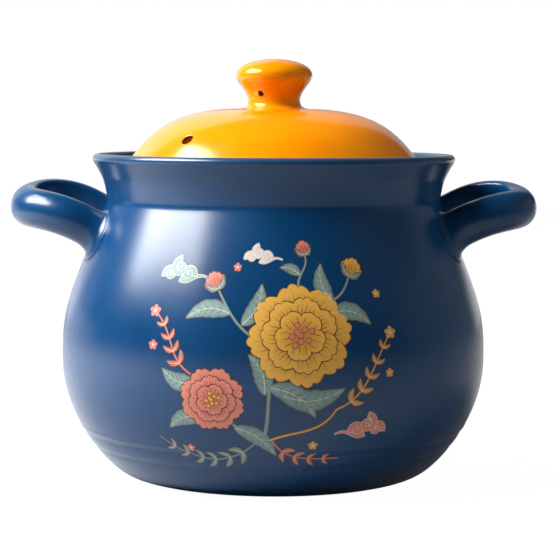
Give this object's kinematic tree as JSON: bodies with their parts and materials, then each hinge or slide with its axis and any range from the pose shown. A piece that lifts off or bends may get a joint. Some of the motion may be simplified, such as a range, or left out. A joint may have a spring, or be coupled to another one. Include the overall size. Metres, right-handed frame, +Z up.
{
  "type": "chinese sand pot",
  "caption": "Bellied glazed clay cooking pot with a flared collar, loop handles at its sides and a domed, knobbed lid that lifts off a ledge inside the collar.",
  "frame": {"origin": "middle of the base, on the surface that the pot stands on", "axes": "+Z up, the way the lid lifts; +X towards the right handle; -Y towards the front, where the decoration is"},
  "size_m": [0.2988, 0.24, 0.2366],
  "materials": {
    "navy_glaze": "satin navy-blue glaze over stoneware",
    "yellow_glaze": "glossy yellow-orange glaze over stoneware"
  },
  "bodies": {
    "pot": {"pot_body": "navy_glaze", "left_handle": "navy_glaze", "right_handle": "navy_glaze"},
    "lid": {"lid": "yellow_glaze", "lid_knob": "yellow_glaze"}
  },
  "joints": [
    {"name": "lid_lift", "type": "slide", "parent": "pot", "child": "lid", "axis": [0, 0, 1], "range_m": [0, 0.12]}
  ]
}
